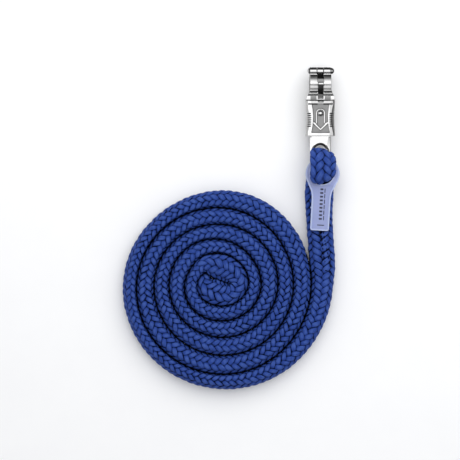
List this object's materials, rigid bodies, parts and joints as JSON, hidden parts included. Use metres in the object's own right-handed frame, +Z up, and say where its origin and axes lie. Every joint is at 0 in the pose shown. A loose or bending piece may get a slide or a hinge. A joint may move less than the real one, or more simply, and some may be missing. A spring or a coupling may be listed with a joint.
{
  "type": "lead rope with quick-release snap",
  "caption": "Braided lead rope coiled flat, eye-spliced to a metal snap whose spring sleeve pulls back to free a hinged jaw, with a plastic hang tag.",
  "frame": {"origin": "centre of the closed throat of the snap hook", "axes": "+X along the throat and the jaw's hinge pin, +Y from the rope towards the nose of the snap, +Z up from the resting surface, which is at Z = -15.5 mm"},
  "size_m": [0.2083, 0.3068, 0.0345],
  "materials": {
    "rope": "soft braided polypropylene yarn, slight sheen",
    "core": "loose filler yarn",
    "thread": "sewing thread",
    "plated_metal": "nickel-plated zinc die casting",
    "steel": "nickel-plated steel rivet",
    "spring_steel": "drawn spring wire",
    "tag_plastic": "soft translucent PVC"
  },
  "bodies": {
    "rope": {"rope_cover": "rope", "rope_core": "core", "splice_tail": "rope", "splice_stitching": "thread", "end_whipping": "thread"},
    "snap": {"hook_body": "plated_metal", "jaw_pin": "steel", "sleeve_spring": "spring_steel"},
    "sleeve": {"release_sleeve": "plated_metal", "sleeve_rivet": "steel"},
    "jaw": {"release_jaw": "plated_metal"},
    "tag": {"hang_tag": "tag_plastic"}
  },
  "joints": [
    {"name": "snap_swing", "type": "hinge", "parent": "rope", "child": "snap", "pos_m": [0, -0.065, 0], "axis": [0, 0, 1], "range_deg": [-30, 30]},
    {"name": "sleeve_slide", "type": "slide", "parent": "snap", "child": "sleeve", "axis": [0, -1, 0], "range_m": [0, 0.008], "stiffness_N_per_m": 400, "springref_m": -0.004, "deforming": ["sleeve_spring"]},
    {"name": "jaw_swing", "type": "hinge", "parent": "snap", "child": "jaw", "pos_m": [0, 0.0126, 0], "axis": [-1, 0, 0], "range_deg": [0, 45]},
    {"name": "tag_swing", "type": "hinge", "parent": "rope", "child": "tag", "pos_m": [0.002, -0.08535, 0.0059], "axis": [0, 0, 1], "range_deg": [-25, 25]}
  ],
  "couplings": [
    {"joint": "jaw_swing", "follows": "sleeve_slide", "rad_per_m": 98.17}
  ]
}
